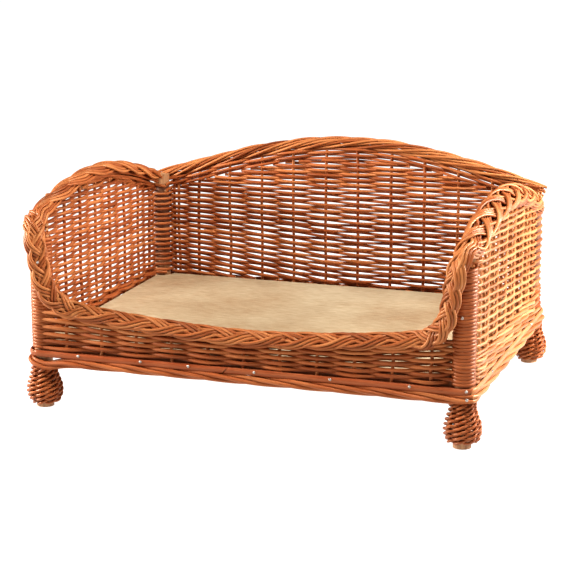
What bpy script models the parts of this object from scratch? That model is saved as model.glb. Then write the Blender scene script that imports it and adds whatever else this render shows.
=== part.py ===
"""Wicker pet bed basket: a low willow lounger for a cat or a small dog.

Four round posts stand on woven feet and carry a tenoned base frame with slats and a board.
Woven walls rise on three sides, with a low woven front. A roped rim tops the back, plaits top
the arms and the front, and nailed bands and roped borders close the base.

Metres, +Z up, +X to the right of someone facing the basket, +Y to its back. The origin is on
the floor, below the middle of the overall box.
"""

import math

import bmesh
import bpy
from mathutils import Vector

# Clearance between neighbouring pieces, and how far a cutter runs past what it cuts.
GAP = 0.0003
CUT_PAST = 0.002

# Posts.
POST_X = 0.330
POST_FRONT_Y = -0.236
POST_BACK_Y = 0.250
POST_RADIUS = 0.0135
FRONT_POST_TOP = 0.262
BACK_POST_TOP = 0.283
POST_SIDES = 20

# Woven foot round each post: a bulb below a neck.
FOOT_BOTTOM = 0.004
FOOT_TOP = 0.0665
FOOT_BULB_Z = 0.027
FOOT_BULB_RADIUS = 0.0295
FOOT_NECK_RADIUS = 0.0205
FOOT_BULB_REACH = 0.034
FOOT_RINGS = 9

# Base frame: rails between the posts, slats between the rails, and the board on both.
RAIL_BOTTOM = 0.081
RAIL_TOP = 0.099
RAIL_WIDTH = 0.018
RAIL_OFFSET = 0.003
TENON_RADIUS = 0.005
TENON_LENGTH = 0.0045
TENON_SIDES = 8
SLAT_XS = (-0.165, 0.0, 0.165)
SLAT_WIDTH = 0.022
SLAT_BOTTOM = 0.0845
SLAT_TOP = 0.0985
BOARD_TOP = 0.104
BOARD_X = 0.334
BOARD_MARGIN_Y = 0.004

# Woven walls, all at one distance outside the line through the post centres.
WALL_OFFSET = 0.011
WALL_THICKNESS = 0.009
WALL_BOTTOM = 0.0952
WINDING_RADIUS = 0.019
FRONT_WINDING_TOP = 0.255
BACK_WINDING_TOP = 0.262
STAKE_RADIUS = 0.003
STAKE_SIDES = 8
STAKE_BOTTOM = 0.0838
BACK_STAKES = 10
BACK_STAKE_PITCH = 0.058
BACK_STAKE_START_X = -0.264
END_STAKE_X = 0.3065
STAKE_TOP_GAP = 0.002
WALL_STEPS = 20
WALL_TOP_GAP = 0.0015

# Band nailed round the base, and the roped border below it.
BAND_BOTTOM = 0.0835
BAND_TOP = 0.0945
BAND_INNER = 0.0165
BAND_OUTER = 0.0215
BORDER_Z = 0.075
BORDER_RADIUS = 0.008
BORDER_OFFSET = 0.017
BORDER_SIDES = 12
CORNER_CUT = 0.010

# Nails through the band into the rails.
NAIL_HEAD_RADIUS = 0.0035
NAIL_HEAD_HEIGHT = 0.0021
NAIL_SHANK_RADIUS = 0.0009
NAIL_LENGTH = 0.0225
NAIL_BORE_RADIUS = 0.0013
NAIL_SIDES = 8
FRONT_NAIL_XS = (-0.263, -0.161, -0.084, 0.020, 0.137, 0.256)
BACK_NAIL_XS = (-0.190, 0.190)
SIDE_NAIL_YS = (-0.140, 0.150)

# Roped rim of the back: an arch with its peak a little right of the middle.
RIM_RADIUS = 0.009
RIM_OFFSET = 0.013
RIM_HALF_LENGTH = 0.350
RIM_PEAK = 0.352
RIM_PEAK_X = 0.020
RIM_DROP = 0.1188
RIM_WAVE = 1.2316

# Plait over each arm: an arch that comes down round the front of the post.
PLAIT_SIDES = 12
ARM_PEAK = 0.3255
ARM_PEAK_Y = -0.038
ARM_DROP = 0.1002
ARM_WAVE = 1.04
ARM_PLAIT_X = 0.3370
ARM_PLAIT_START_Y = -0.236
ARM_PLAIT_END_Y = 0.2300
ARM_PLAIT_STEPS = 10
ARM_PLAIT_HALF = (0.020, 0.0145)
RISER_HALF = (0.0115, 0.0140)
CORNER_KNOTS = (
    (0.2642, -0.2500, 0.1572),
    (0.2760, -0.2508, 0.1595),
    (0.2930, -0.2570, 0.1695),
    (0.3080, -0.2640, 0.1885),
    (0.3160, -0.2672, 0.2140),
    (0.3200, -0.2674, 0.2400),
    (0.3250, -0.2660, 0.2660),
    (0.3310, -0.2540, 0.2865),
)
STEPS_PER_KNOT = 3

# Plait along the front: nearly level, and rising towards the posts.
FRONT_PLAIT_Y = -0.250
FRONT_PLAIT_LOW = 0.138
FRONT_PLAIT_HALF = (0.0110, 0.0135)
FRONT_PLAIT_END_X = 0.2626
FRONT_RISE = 0.0190
FRONT_RISE_POWER = 1.7
FRONT_PLAIT_STEPS = 24

# Colour, roughness and metallic value of each kind of surface.
WILLOW = ((0.60, 0.30, 0.11, 1.0), 0.50, 0.0)
STICK = ((0.66, 0.38, 0.17, 1.0), 0.55, 0.0)
POST_WOOD = ((0.80, 0.62, 0.40, 1.0), 0.60, 0.0)
BOARD_WOOD = ((0.84, 0.72, 0.54, 1.0), 0.65, 0.0)
STEEL = ((0.72, 0.72, 0.74, 1.0), 0.30, 1.0)

X_AXIS = Vector((1.0, 0.0, 0.0))
Y_AXIS = Vector((0.0, 1.0, 0.0))
Z_AXIS = Vector((0.0, 0.0, 1.0))
SIDES = (("left", -1.0), ("right", 1.0))
ENDS = (("front", POST_FRONT_Y, -1.0), ("back", POST_BACK_Y, 1.0))


def clear_scene():
    """Remove every object that the file holds."""
    for item in list(bpy.data.objects):
        bpy.data.objects.remove(item, do_unlink=True)


def finish_material(name, finish):
    """Make the Principled material of one piece."""
    colour, roughness, metallic = finish
    material = bpy.data.materials.new(name + "_finish")
    material.use_nodes = True
    shader = material.node_tree.nodes["Principled BSDF"]
    shader.inputs["Base Color"].default_value = colour
    shader.inputs["Roughness"].default_value = roughness
    shader.inputs["Metallic"].default_value = metallic
    return material


def add_solid(name, points, faces, finish):
    """Add one closed mesh object with its faces pointing out."""
    mesh = bpy.data.meshes.new(name)
    mesh.from_pydata([tuple(point) for point in points], [], faces)
    shell = bmesh.new()
    shell.from_mesh(mesh)
    bmesh.ops.recalc_face_normals(shell, faces=shell.faces)
    shell.to_mesh(mesh)
    shell.free()
    mesh.shade_smooth()
    mesh.set_sharp_from_angle(angle=math.radians(40.0))
    mesh.materials.append(finish_material(name, finish))
    item = bpy.data.objects.new(name, mesh)
    bpy.context.collection.objects.link(item)
    return item


def loft(name, rings, finish, ring_shaped=False):
    """Skin rings of equal length into one body, capped at both ends or closed on itself."""
    count = len(rings[0])
    points = [point for ring in rings for point in ring]
    spans = len(rings) if ring_shaped else len(rings) - 1
    faces = []
    for row in range(spans):
        low = row * count
        high = ((row + 1) % len(rings)) * count
        for column in range(count):
            after = (column + 1) % count
            faces.append((low + column, low + after, high + after, high + column))
    if not ring_shaped:
        last = (len(rings) - 1) * count
        faces.append(tuple(range(count)))
        faces.append(tuple(range(last, last + count)))
    return add_solid(name, points, faces, finish)


def circle(centre, first, second, radii, sides):
    """Points of a circle or an ellipse round centre, in the plane of two directions."""
    points = []
    for step in range(sides):
        angle = 2.0 * math.pi * step / sides
        along_first = first * (radii[0] * math.cos(angle))
        points.append(centre + along_first + second * (radii[1] * math.sin(angle)))
    return points


def side_directions(axis):
    """Two directions square to an axis that lies along X, Y or Z."""
    if abs(axis.z) > 0.5:
        return X_AXIS, Y_AXIS
    if abs(axis.x) > 0.5:
        return Y_AXIS, Z_AXIS
    return X_AXIS, Z_AXIS


def rod(name, start, end, radius, sides, finish):
    """A straight round rod along X, Y or Z."""
    first, second = side_directions((end - start).normalized())
    rings = [circle(place, first, second, (radius, radius), sides) for place in (start, end)]
    return loft(name, rings, finish)


def turned(name, centre, profile, sides, finish):
    """A ring-shaped body turned about a vertical axis from (radius, height) points."""
    rings = []
    for radius, height in profile:
        middle = Vector((centre[0], centre[1], height))
        rings.append(circle(middle, X_AXIS, Y_AXIS, (radius, radius), sides))
    return loft(name, rings, finish, ring_shaped=True)


def block(name, low, high, finish):
    """A plain block between two corners."""
    rings = []
    for z in (low[2], high[2]):
        corners = ((low[0], low[1]), (high[0], low[1]), (high[0], high[1]), (low[0], high[1]))
        rings.append([Vector((x, y, z)) for x, y in corners])
    return loft(name, rings, finish)


def sweep(name, path, start_side, halves, sides, finish):
    """A body of elliptical section along a path.

    start_side is the direction of the section's first half-size at the start. It is carried
    along the path without twist. halves gives the two half-sizes at each point of the path.
    """
    side = Vector(start_side)
    rings = []
    for index, place in enumerate(path):
        before = path[max(index - 1, 0)]
        after = path[min(index + 1, len(path) - 1)]
        along = (after - before).normalized()
        side = (side - along * side.dot(along)).normalized()
        rings.append(circle(place, side, along.cross(side), halves[index], sides))
    return loft(name, rings, finish)


def cut(target, cutters):
    """Take hidden cutter bodies out of a piece."""
    for cutter in cutters:
        cutter.hide_render = True
        cutter.display_type = "WIRE"
        modifier = target.modifiers.new(cutter.name, "BOOLEAN")
        modifier.operation = "DIFFERENCE"
        modifier.solver = "EXACT"
        modifier.object = cutter


def smooth_path(knots, steps):
    """Points on a smooth curve through the knots (Catmull-Rom)."""
    points = []
    for index in range(len(knots) - 1):
        start = knots[index]
        end = knots[index + 1]
        before = knots[index - 1] if index > 0 else start * 2.0 - end
        after = knots[index + 2] if index + 2 < len(knots) else end * 2.0 - start
        for step in range(steps):
            t = step / steps
            bend = (start - end) * 3.0 + after - before
            ease = before * 2.0 - start * 5.0 + end * 4.0 - after
            points.append((bend * t**3 + ease * t**2 + (end - before) * t + start * 2.0) * 0.5)
    points.append(knots[-1])
    return points


def between(start, end, steps):
    """Evenly spaced numbers from start to end, both included."""
    return [start + (end - start) * step / steps for step in range(steps + 1)]


def rim_height(x):
    """Height of the centre of the back rim."""
    return RIM_PEAK - RIM_DROP * math.sin(math.pi * (x - RIM_PEAK_X) / RIM_WAVE) ** 2


def arm_height(y):
    """Height of the centre of an arm plait."""
    return ARM_PEAK - ARM_DROP * math.sin(math.pi * (y - ARM_PEAK_Y) / ARM_WAVE) ** 2


def front_height(x):
    """Height of the centre of the front plait."""
    return FRONT_PLAIT_LOW + FRONT_RISE * (abs(x) / FRONT_PLAIT_END_X) ** FRONT_RISE_POWER


def post_cutters(name, radius, ends):
    """Round cutters on the axes of the posts at the given ends of the basket."""
    cutters = []
    for end_name, y, _ in ends:
        for side_name, side in SIDES:
            low = Vector((side * POST_X, y, FOOT_TOP - CUT_PAST))
            high = Vector((side * POST_X, y, RIM_PEAK))
            cutter_name = f"{name}_{end_name}_{side_name}_cutter"
            cutters.append(rod(cutter_name, low, high, radius, POST_SIDES, STICK))
    return cutters


def make_posts():
    """Four round posts, each with two mortises for the rails."""
    height = (RAIL_BOTTOM + RAIL_TOP) / 2.0
    depth = POST_RADIUS - TENON_LENGTH - 2.0 * GAP
    far = POST_RADIUS + CUT_PAST
    for end_name, y, outward in ENDS:
        top = FRONT_POST_TOP if outward < 0.0 else BACK_POST_TOP
        for side_name, side in SIDES:
            name = f"post_{end_name}_{side_name}"
            foot = Vector((side * POST_X, y, 0.0))
            post = rod(name, foot, foot + Z_AXIS * top, POST_RADIUS, POST_SIDES, POST_WOOD)
            along_x = foot + Vector((0.0, -outward * RAIL_OFFSET, height))
            along_y = foot + Vector((-side * RAIL_OFFSET, 0.0, height))
            inward_x = X_AXIS * -side
            inward_y = Y_AXIS * -outward
            mortise = TENON_RADIUS + GAP
            ends_x = (along_x + inward_x * depth, along_x + inward_x * far)
            ends_y = (along_y + inward_y * depth, along_y + inward_y * far)
            cut(post, [
                rod(name + "_mortise_x", *ends_x, mortise, TENON_SIDES, POST_WOOD),
                rod(name + "_mortise_y", *ends_y, mortise, TENON_SIDES, POST_WOOD),
            ])


def make_feet():
    """Woven bulbs round the lower ends of the posts."""
    profile = [(POST_RADIUS + GAP, FOOT_TOP), (POST_RADIUS + GAP, FOOT_BOTTOM)]
    for height in between(FOOT_BOTTOM, FOOT_TOP, FOOT_RINGS - 1):
        phase = min(abs(height - FOOT_BULB_Z) / FOOT_BULB_REACH, 1.0)
        swell = (FOOT_BULB_RADIUS - FOOT_NECK_RADIUS) * (0.5 + 0.5 * math.cos(math.pi * phase))
        profile.append((FOOT_NECK_RADIUS + swell, height))
    for end_name, y, _ in ENDS:
        for side_name, side in SIDES:
            name = f"woven_foot_{end_name}_{side_name}"
            turned(name, (side * POST_X, y), profile, POST_SIDES, WILLOW)


def make_windings():
    """Rods wound round the posts, from the base to the borders."""
    for end_name, y, outward in ENDS:
        top = FRONT_WINDING_TOP if outward < 0.0 else BACK_WINDING_TOP
        low = RAIL_TOP + 2.0 * GAP
        inner = POST_RADIUS + GAP
        profile = [(inner, low), (WINDING_RADIUS, low), (WINDING_RADIUS, top), (inner, top)]
        for side_name, side in SIDES:
            name = f"post_winding_{end_name}_{side_name}"
            turned(name, (side * POST_X, y), profile, POST_SIDES, WILLOW)


def tenoned_bar(name, start, end, half_width, half_height, finish):
    """A flat-sided bar along X or Y with a round tenon on each end."""
    along = (end - start).normalized()
    across, up = side_directions(along)
    reach = along * TENON_LENGTH
    radii = (TENON_RADIUS, TENON_RADIUS)
    rings = [circle(start - reach, across, up, radii, TENON_SIDES)]
    rings.append(circle(start, across, up, radii, TENON_SIDES))
    corners = ((1, 0), (1, 1), (0, 1), (-1, 1), (-1, 0), (-1, -1), (0, -1), (1, -1))
    for place in (start, end):
        rings.append([place + across * (half_width * a) + up * (half_height * b) for a, b in corners])
    rings.append(circle(end, across, up, radii, TENON_SIDES))
    rings.append(circle(end + reach, across, up, radii, TENON_SIDES))
    return loft(name, rings, finish)


def nail_bores(name, places, outward):
    """Cutters for the nails' bores, along outward, through the band and into the rail."""
    cutters = []
    for number, place in enumerate(places, start=1):
        deep = place - outward * (NAIL_LENGTH + GAP)
        cutter_name = f"{name}_bore_{number}"
        past = place + outward * CUT_PAST
        cutters.append(rod(cutter_name, deep, past, NAIL_BORE_RADIUS, NAIL_SIDES, STEEL))
    return cutters


def nail_runs():
    """Name, outward direction and head positions of the nails on each side of the basket."""
    height = (BAND_BOTTOM + BAND_TOP) / 2.0
    front_y = POST_FRONT_Y - BAND_OUTER
    back_y = POST_BACK_Y + BAND_OUTER
    side_x = POST_X + BAND_OUTER
    return {
        "front": (-Y_AXIS, [Vector((x, front_y, height)) for x in FRONT_NAIL_XS]),
        "back": (Y_AXIS, [Vector((x, back_y, height)) for x in BACK_NAIL_XS]),
        "left": (-X_AXIS, [Vector((-side_x, y, height)) for y in SIDE_NAIL_YS]),
        "right": (X_AXIS, [Vector((side_x, y, height)) for y in SIDE_NAIL_YS]),
    }


def make_frame_and_bands():
    """Rails and slats of the base, the bands round it, and the bores that the nails use."""
    height = (RAIL_BOTTOM + RAIL_TOP) / 2.0
    half_height = (RAIL_TOP - RAIL_BOTTOM) / 2.0
    half_width = RAIL_WIDTH / 2.0
    shoulder = POST_RADIUS + GAP
    front_y = POST_FRONT_Y + RAIL_OFFSET
    back_y = POST_BACK_Y - RAIL_OFFSET
    runs = nail_runs()
    for name, y in (("front", front_y), ("back", back_y)):
        start = Vector((-POST_X + shoulder, y, height))
        end = Vector((POST_X - shoulder, y, height))
        rail = tenoned_bar("rail_" + name, start, end, half_width, half_height, STICK)
        outward, places = runs[name]
        cut(rail, nail_bores("rail_" + name, places, outward))
        cut(rail, slat_mortises(name, y, -outward))
    for name, side in SIDES:
        x = side * (POST_X - RAIL_OFFSET)
        start = Vector((x, POST_FRONT_Y + shoulder, height))
        end = Vector((x, POST_BACK_Y - shoulder, height))
        rail = tenoned_bar("rail_" + name, start, end, half_width, half_height, STICK)
        outward, places = runs[name]
        cut(rail, nail_bores("rail_" + name, places, outward))
    make_slats(front_y + half_width + GAP, back_y - half_width - GAP)
    make_bands(runs)


def slat_mortises(name, rail_y, inward):
    """Cutters for the slats' tenons in the front or the back rail."""
    height = (SLAT_BOTTOM + SLAT_TOP) / 2.0
    cutters = []
    for number, x in enumerate(SLAT_XS, start=1):
        face = Vector((x, rail_y, height)) + inward * (RAIL_WIDTH / 2.0)
        deep = face - inward * (TENON_LENGTH + GAP)
        past = face + inward * CUT_PAST
        radius = TENON_RADIUS + GAP
        cutters.append(rod(f"{name}_slat_mortise_{number}", deep, past, radius, TENON_SIDES, STICK))
    return cutters


def make_slats(front_y, back_y):
    """Slats across the base, tenoned into the front and back rails."""
    height = (SLAT_BOTTOM + SLAT_TOP) / 2.0
    half_height = (SLAT_TOP - SLAT_BOTTOM) / 2.0
    for number, x in enumerate(SLAT_XS, start=1):
        start = Vector((x, front_y, height))
        end = Vector((x, back_y, height))
        tenoned_bar(f"base_slat_{number}", start, end, SLAT_WIDTH / 2.0, half_height, STICK)


def make_bands(runs):
    """Flat split rods round the base, which stop short of its rounded corners."""
    reach_x = POST_X + BAND_OUTER - CORNER_CUT
    for name, y, outward in ENDS:
        ys = sorted((y + outward * BAND_INNER, y + outward * BAND_OUTER))
        low = (-reach_x, ys[0], BAND_BOTTOM)
        band = block("band_" + name, low, (reach_x, ys[1], BAND_TOP), WILLOW)
        direction, places = runs[name]
        cut(band, nail_bores("band_" + name, places, direction))
    for name, side in SIDES:
        xs = sorted((side * (POST_X + BAND_INNER), side * (POST_X + BAND_OUTER)))
        low = (xs[0], POST_FRONT_Y - BAND_OUTER + CORNER_CUT, BAND_BOTTOM)
        high = (xs[1], POST_BACK_Y + BAND_OUTER - CORNER_CUT, BAND_TOP)
        band = block("band_" + name, low, high, WILLOW)
        direction, places = runs[name]
        cut(band, nail_bores("band_" + name, places, direction))


def make_nails():
    """Domed nails, each turned about its own shank."""
    profile = (
        (NAIL_SHANK_RADIUS, GAP - NAIL_LENGTH),
        (NAIL_SHANK_RADIUS, GAP),
        (NAIL_HEAD_RADIUS, GAP),
        (NAIL_HEAD_RADIUS * 0.7, GAP + NAIL_HEAD_HEIGHT * 0.7),
        (NAIL_HEAD_RADIUS * 0.25, GAP + NAIL_HEAD_HEIGHT),
    )
    for name, (outward, places) in nail_runs().items():
        first, second = side_directions(outward)
        for number, place in enumerate(places, start=1):
            rings = [
                circle(place + outward * height, first, second, (radius, radius), NAIL_SIDES)
                for radius, height in profile
            ]
            loft(f"nail_{name}_{number}", rings, STEEL)


def make_board():
    """The floor board, notched round the posts and their windings."""
    low = (-BOARD_X, POST_FRONT_Y - BOARD_MARGIN_Y, RAIL_TOP + GAP)
    high = (BOARD_X, POST_BACK_Y + BOARD_MARGIN_Y, BOARD_TOP)
    board = block("base_board", low, high, BOARD_WOOD)
    cut(board, post_cutters("board", WINDING_RADIUS + GAP, ENDS))


def make_lower_borders():
    """Roped borders round the bottom edge, notched where they pass the posts."""
    sides = BORDER_SIDES
    reach_x = POST_X + BORDER_OFFSET + BORDER_RADIUS - CORNER_CUT
    for name, y, outward in ENDS:
        border_y = y + outward * BORDER_OFFSET
        start = Vector((-reach_x, border_y, BORDER_Z))
        end = Vector((reach_x, border_y, BORDER_Z))
        border = rod("lower_border_" + name, start, end, BORDER_RADIUS, sides, WILLOW)
        cutters = post_cutters("border_" + name, POST_RADIUS + GAP, [(name, y, outward)])
        cut(border, cutters)
    inset = BORDER_OFFSET - BORDER_RADIUS - GAP
    for name, side in SIDES:
        x = side * (POST_X + BORDER_OFFSET)
        start = Vector((x, POST_FRONT_Y - inset, BORDER_Z))
        end = Vector((x, POST_BACK_Y + inset, BORDER_Z))
        border = rod("lower_border_" + name, start, end, BORDER_RADIUS, sides, WILLOW)
        cut(border, post_cutters("border_" + name, POST_RADIUS + GAP, ENDS))


def wall_panel(name, outline, place):
    """A flat woven wall: an outline of (run, height) points, made thick by place(run, height, depth)."""
    half = WALL_THICKNESS / 2.0
    rings = [[place(run, height, depth) for run, height in outline] for depth in (-half, half)]
    return loft(name, rings, WILLOW)


def arch_outline(start, end, top_of):
    """Outline of a wall with a level bottom and a curved top."""
    outline = [(start, WALL_BOTTOM), (end, WALL_BOTTOM)]
    for run in between(end, start, WALL_STEPS):
        outline.append((run, top_of(run)))
    return outline


def make_walls():
    """The woven back, front and arms, clear of the windings at their ends."""
    reach_x = POST_X - WINDING_RADIUS - GAP
    front_y = POST_FRONT_Y - WALL_OFFSET
    back_y = POST_BACK_Y + WALL_OFFSET
    outline = arch_outline(-reach_x, reach_x, lambda x: front_height(x) - FRONT_PLAIT_HALF[1] - WALL_TOP_GAP)
    wall_panel("woven_front", outline, lambda run, z, depth: Vector((run, front_y + depth, z)))
    outline = arch_outline(-reach_x, reach_x, lambda x: rim_height(x) - RIM_RADIUS - WALL_TOP_GAP)
    back = wall_panel("woven_back", outline, lambda run, z, depth: Vector((run, back_y + depth, z)))
    cut(back, back_stakes("stake_channel_", STAKE_RADIUS + GAP, 2.0 * CUT_PAST))
    start = POST_FRONT_Y + WINDING_RADIUS + GAP
    end = POST_BACK_Y - WINDING_RADIUS - GAP
    outline = arch_outline(start, end, lambda y: arm_height(y) - ARM_PLAIT_HALF[0] - WALL_TOP_GAP)
    for name, side in SIDES:
        wall_x = side * (POST_X + WALL_OFFSET)
        wall_panel("woven_arm_" + name, outline, lambda run, z, depth: Vector((wall_x + depth, run, z)))


def back_stakes(name, radius, past):
    """Upright rods in the back wall, from the base to the underside of the rim."""
    y = POST_BACK_Y + WALL_OFFSET
    rods = []
    inner = [BACK_STAKE_START_X + BACK_STAKE_PITCH * step for step in range(BACK_STAKES)]
    for number, x in enumerate([-END_STAKE_X, *inner, END_STAKE_X], start=1):
        low = Vector((x, y, STAKE_BOTTOM - past))
        high = Vector((x, y, rim_height(x) - RIM_RADIUS - STAKE_TOP_GAP + past))
        rods.append(rod(f"{name}{number:02d}", low, high, radius, STAKE_SIDES, STICK))
    return rods


def make_rim():
    """The roped rim over the back, notched round the tops of the back posts."""
    y = POST_BACK_Y + RIM_OFFSET
    runs = between(-RIM_HALF_LENGTH, RIM_HALF_LENGTH, 2 * WALL_STEPS)
    path = [Vector((x, y, rim_height(x))) for x in runs]
    halves = [(RIM_RADIUS, RIM_RADIUS)] * len(path)
    rim = sweep("back_rim", path, Y_AXIS, halves, PLAIT_SIDES, WILLOW)
    cut(rim, post_cutters("rim", POST_RADIUS + GAP, [ENDS[1]]))


def make_front_plait():
    """The plait along the low front, between the two arm plaits."""
    runs = between(-FRONT_PLAIT_END_X, FRONT_PLAIT_END_X, FRONT_PLAIT_STEPS)
    path = [Vector((x, FRONT_PLAIT_Y, front_height(x))) for x in runs]
    halves = [FRONT_PLAIT_HALF] * len(path)
    sweep("plait_front", path, -Y_AXIS, halves, PLAIT_SIDES, WILLOW)


def make_arm_plaits():
    """The plait of each arm: from the front, up round the post and back over the arm."""
    knots = [Vector(knot) for knot in CORNER_KNOTS]
    for y in between(ARM_PLAIT_START_Y, ARM_PLAIT_END_Y, ARM_PLAIT_STEPS):
        knots.append(Vector((ARM_PLAIT_X, y, arm_height(y))))
    path = smooth_path(knots, STEPS_PER_KNOT)
    arch_start = (len(CORNER_KNOTS) + 1) * STEPS_PER_KNOT
    riser_start = 3 * STEPS_PER_KNOT
    riser_end = 5 * STEPS_PER_KNOT
    halves = []
    for index in range(len(path)):
        low_share = min(index / riser_start, 1.0)
        high_share = min(max((index - riser_end) / (arch_start - riser_end), 0.0), 1.0)
        low = Vector(FRONT_PLAIT_HALF).lerp(Vector(RISER_HALF), low_share)
        half = low.lerp(Vector(ARM_PLAIT_HALF), high_share)
        halves.append((half[0], half[1]))
    for name, side in SIDES:
        mirrored = [Vector((side * place.x, place.y, place.z)) for place in path]
        sweep("plait_arm_" + name, mirrored, -Y_AXIS, halves, PLAIT_SIDES, WILLOW)


def main():
    """Build the whole basket."""
    clear_scene()
    make_posts()
    make_feet()
    make_frame_and_bands()
    make_nails()
    make_board()
    make_lower_borders()
    make_windings()
    make_walls()
    back_stakes("back_stake_", STAKE_RADIUS, 0.0)
    make_rim()
    make_front_plait()
    make_arm_plaits()


main()
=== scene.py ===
"""Looks of the wicker pet bed: every woven part as real willow rods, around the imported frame."""

import math
from random import Random

import bpy
import numpy as np
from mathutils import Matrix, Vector


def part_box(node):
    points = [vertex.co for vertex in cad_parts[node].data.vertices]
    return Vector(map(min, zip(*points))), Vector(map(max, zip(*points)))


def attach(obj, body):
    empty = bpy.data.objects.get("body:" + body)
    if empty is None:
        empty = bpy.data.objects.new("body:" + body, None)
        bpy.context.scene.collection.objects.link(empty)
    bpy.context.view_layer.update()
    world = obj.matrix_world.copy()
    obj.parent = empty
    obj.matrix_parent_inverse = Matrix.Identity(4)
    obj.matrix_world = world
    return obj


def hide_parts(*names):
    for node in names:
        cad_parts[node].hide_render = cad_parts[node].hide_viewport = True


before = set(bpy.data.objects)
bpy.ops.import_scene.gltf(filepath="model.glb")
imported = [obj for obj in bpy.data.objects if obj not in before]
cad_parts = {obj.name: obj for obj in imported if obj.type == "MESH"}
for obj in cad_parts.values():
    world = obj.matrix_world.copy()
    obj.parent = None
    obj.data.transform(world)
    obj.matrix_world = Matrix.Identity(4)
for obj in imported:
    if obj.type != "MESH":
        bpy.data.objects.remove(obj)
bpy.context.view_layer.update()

BODY = "root"
ROD_UV = "RodUV"
TONE = "rod_tone"
UP = np.array([0.0, 0.0, 1.0])
TURN = 2.0 * math.pi
ANY_ANGLE = 6.28

# The CAD frame's dimensions, in metres.
POST_X = 0.330
POST_FRONT_Y = -0.236
POST_BACK_Y = 0.250
POST_RADIUS = 0.0135
WALL_OUT = 0.011
RIM_Y = 0.263
RIM_END_X = 0.350
RIM_PEAK = 0.352
RIM_PEAK_X = 0.020
RIM_DROP = 0.1188
RIM_WAVE = 1.2316
ARM_PEAK = 0.3255
ARM_PEAK_Y = -0.038
ARM_DROP = 0.1002
ARM_WAVE = 1.04
ARM_PLAIT_X = 0.337
ARM_PLAIT_END_Y = 0.230
FRONT_PLAIT_Y = -0.250
FRONT_PLAIT_LOW = 0.138
FRONT_PLAIT_END_X = 0.2626
FRONT_RISE = 0.019
FRONT_RISE_POWER = 1.7
FOOT_BOTTOM = 0.004
FOOT_TOP = 0.0665
WINDING_BOTTOM = 0.0965
WINDING_TOP = 0.268
BORDER_Z = 0.075
BORDER_OUT = 0.017
BAND_OUT = 0.019
BAND_Z = 0.0875
CORNER_KNOTS = [
    (0.2760, -0.2508, 0.1595),
    (0.2930, -0.2570, 0.1695),
    (0.3080, -0.2640, 0.1885),
    (0.3160, -0.2672, 0.2140),
    (0.3200, -0.2674, 0.2400),
    (0.3250, -0.2660, 0.2660),
    (0.3310, -0.2540, 0.2865),
]

# Stakes, the uprights that the weavers pass.
STAKE_RADIUS = 0.0027
STAKE_BOTTOM = 0.0838
BACK_END_STAKE_X = 0.3065
BACK_STAKES_X = [-BACK_END_STAKE_X, *[-0.264 + 0.058 * step for step in range(10)], BACK_END_STAKE_X]
LEFT_STAKES_Y = [-0.190, -0.128, -0.069, -0.011, 0.046, 0.106, 0.166, 0.216]
RIGHT_STAKES_Y = [-0.215, -0.165, -0.104, -0.044, 0.018, 0.080, 0.138, 0.190]
FRONT_STAKES_X = [-0.285 + 0.057 * step for step in range(11)]

# Weavers: their radius, also where a wall has its own, and the curve points between two uprights.
WEAVER_RADIUS = 0.00258
ARM_WEAVER_RADIUS = 0.00254
WALL_RADII = {"left": ARM_WEAVER_RADIUS, "right": ARM_WEAVER_RADIUS, "front": 0.00335}
ROW_STEPS = 11
DEPTH_WANDER = 0.00028
HEIGHT_WANDER = 0.00042

# Level rows, which lean along the arms and sag along the back.
ROWS_START = 0.080
ROW_PITCH = 0.00448
ROW_COUNT = 63
LEFT_LEAN = 0.030
RIGHT_LEAN = 0.012
SAG = 0.046
SAG_FULL_BELOW = 0.11
SAG_FADE = 0.18
SAG_WIDENING = 1.6
SAG_AT_LEFT = 0.08
LOWEST_ROW = {"left": 0.1090, "corner_left": 0.1090, "back": 0.1045, "corner_right": 0.1275, "right": 0.1275}

# Arched rows under the rim and the arm plaits, and where they end.
ARCHED_PITCH = 0.0048
ARCHED_ROWS_BACK = 4
ARCHED_ROWS_ARM = 3
WEAVE_UNDER_RIM = 0.0085
WEAVE_INTO_PLAIT = 0.0020

# Wales, the three-rod twists between the band and the level rows.
WALE_LEVELS = {"left": 2, "corner_left": 2, "back": 1, "corner_right": 3, "right": 3}
WALE_BOTTOM = 0.0936
WALE_PITCH = 0.0122
WALE_LIFT_BACK = 0.0034
WALE_RADIUS = 0.0029

# Feet: two thin rods spiral up together round eight uprights.
FOOT_UPRIGHTS = 8
FOOT_ROD_RADIUS = 0.00215
FOOT_PITCH = 0.0072
FOOT_WRAP_TOP = FOOT_TOP + 0.0035
FOOT_STRAND_BOTTOM = FOOT_BOTTOM + 2.0 * FOOT_ROD_RADIUS
FOOT_STRAND_TOP = FOOT_WRAP_TOP - FOOT_ROD_RADIUS

# Loops round the base: the sides they are cut into, and the distance between their points.
SIDES = ("front", "back", "left", "right")
LOOP_STEP = 0.005

# The plait. Sizes are half width, half depth, how far round its core it wraps, in radians, and its lay.
PLAIT_STRANDS = 5
PLAIT_FILLERS = 7
PLAIT_ROD_RADIUS = 0.00232
FRONT_PLAIT_SIZES = np.array([0.0088, 0.0072, 1.75, 0.265])
RISER_PLAIT_SIZES = np.array([0.0120, 0.0066, 1.50, 0.145])
ARM_PLAIT_SIZES = np.array([0.0156, 0.0104, 1.80, 0.330])


def srgb(red, green, blue):
    """A linear colour from display values between 0 and 255."""
    shares = [value / 255.0 for value in (red, green, blue)]
    return (*[s / 12.92 if s <= 0.04045 else ((s + 0.055) / 1.055) ** 2.4 for s in shares], 1.0)


def grey(value):
    """A neutral colour."""
    return (value, value, value, 1.0)


def clip(share):
    """A value kept between 0 and 1."""
    return min(max(share, 0.0), 1.0)


def ease(share):
    """0 to 1 with a soft start and end; values outside are clipped."""
    share = clip(share)
    return share * share * (3.0 - 2.0 * share)


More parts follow.
